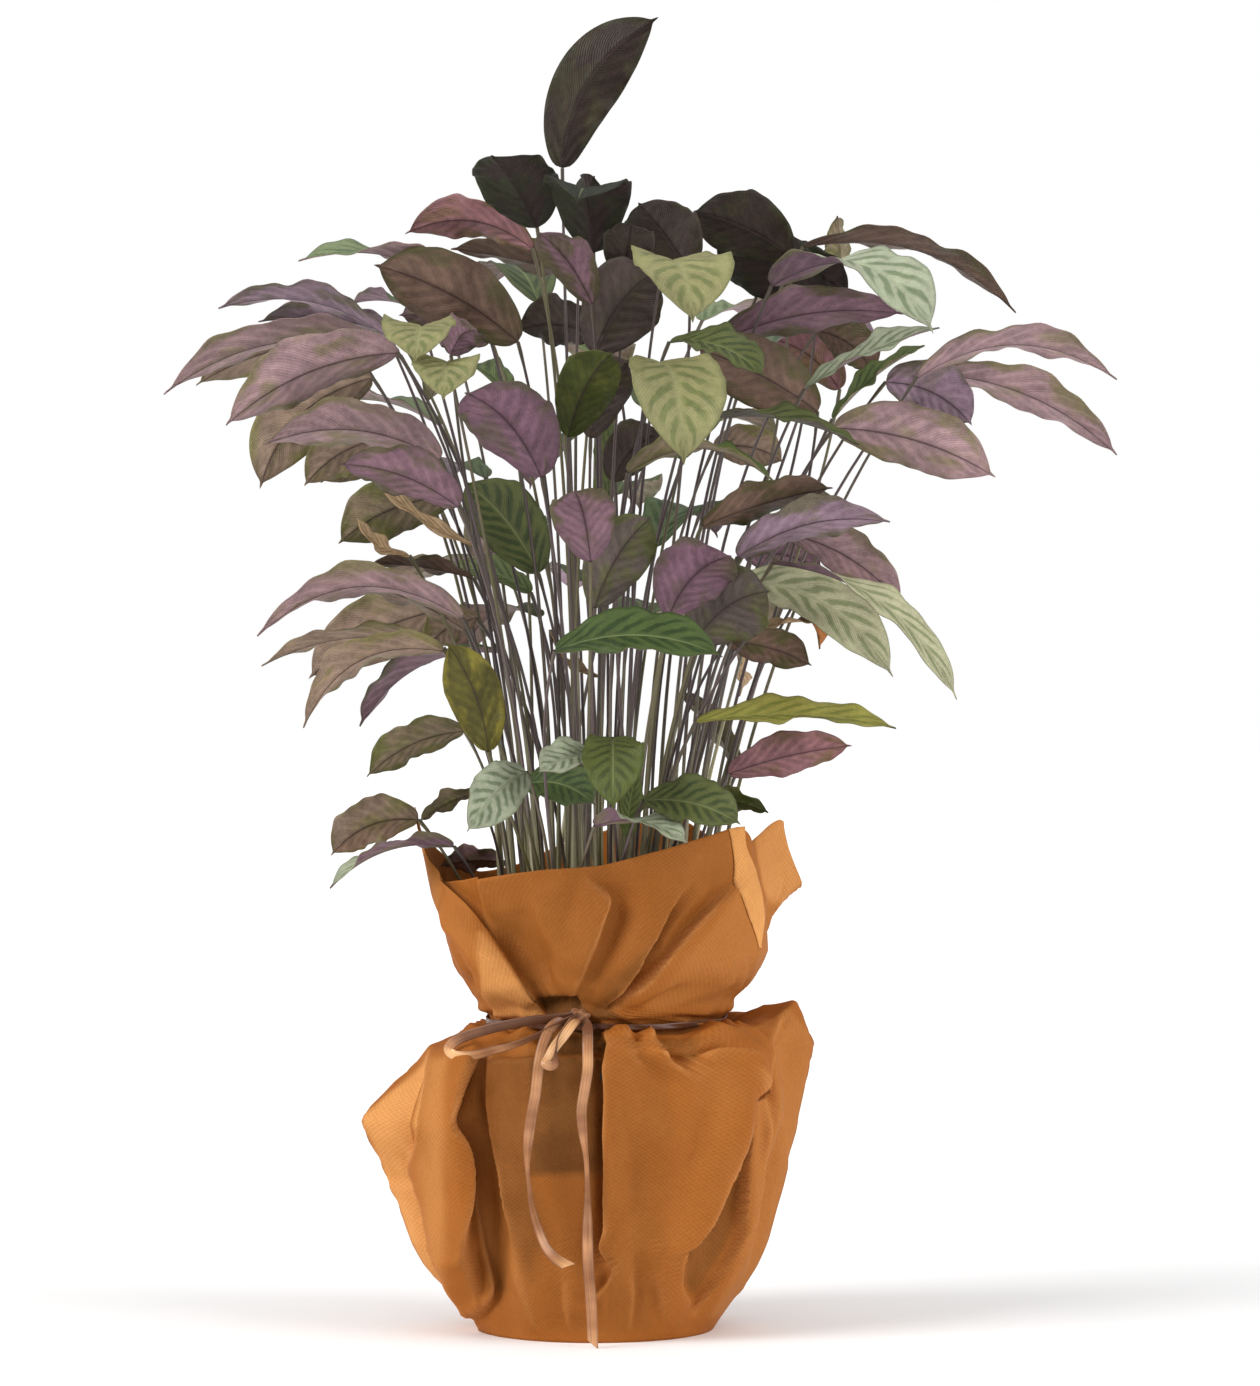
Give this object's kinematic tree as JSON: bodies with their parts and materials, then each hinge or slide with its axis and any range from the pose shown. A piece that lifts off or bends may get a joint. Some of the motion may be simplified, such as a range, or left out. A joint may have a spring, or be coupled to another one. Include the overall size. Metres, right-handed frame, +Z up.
{
  "type": "prayer plant in a wrapped pot",
  "caption": "Tall leafy foliage plant with long dark leaf stalks in a nursery pot, wrapped in a gathered cloth sheet tied at the neck with a satin ribbon.",
  "frame": {"origin": "middle of the wrap's flat bottom, where the pot stands", "axes": "+Z up, -Y towards the side with the bow, +X to the right seen from there"},
  "size_m": [0.6417, 0.4888, 0.8829],
  "materials": {
    "pot": "moulded black plastic",
    "soil": "crumbly dark potting mix of peat and bark",
    "wrap": "matte orange-brown non-woven cloth",
    "ribbon": "copper-brown satin",
    "leaf": "satin leaves, silver-green above with dark green bars, purple below"
  },
  "bodies": {
    "root": {"pot": "pot", "soil": "soil", "wrap": "wrap", "ribbon_band": "ribbon", "ribbon_bow": "ribbon", "ribbon_tail_left": "ribbon", "ribbon_tail_right": "ribbon", "shoot_01": "leaf", "shoot_02": "leaf", "shoot_03": "leaf", "shoot_04": "leaf", "shoot_05": "leaf", "shoot_06": "leaf", "shoot_07": "leaf", "shoot_08": "leaf", "shoot_09": "leaf", "shoot_10": "leaf", "shoot_11": "leaf", "shoot_12": "leaf", "shoot_13": "leaf", "shoot_14": "leaf", "shoot_15": "leaf", "shoot_16": "leaf", "shoot_17": "leaf", "shoot_18": "leaf", "shoot_19": "leaf", "shoot_20": "leaf", "shoot_21": "leaf", "shoot_22": "leaf", "shoot_23": "leaf", "shoot_24": "leaf", "shoot_25": "leaf", "shoot_26": "leaf", "shoot_27": "leaf", "shoot_28": "leaf", "shoot_29": "leaf", "shoot_30": "leaf", "shoot_31": "leaf", "shoot_32": "leaf", "shoot_33": "leaf", "shoot_34": "leaf", "shoot_35": "leaf"}
  },
  "joints": []
}
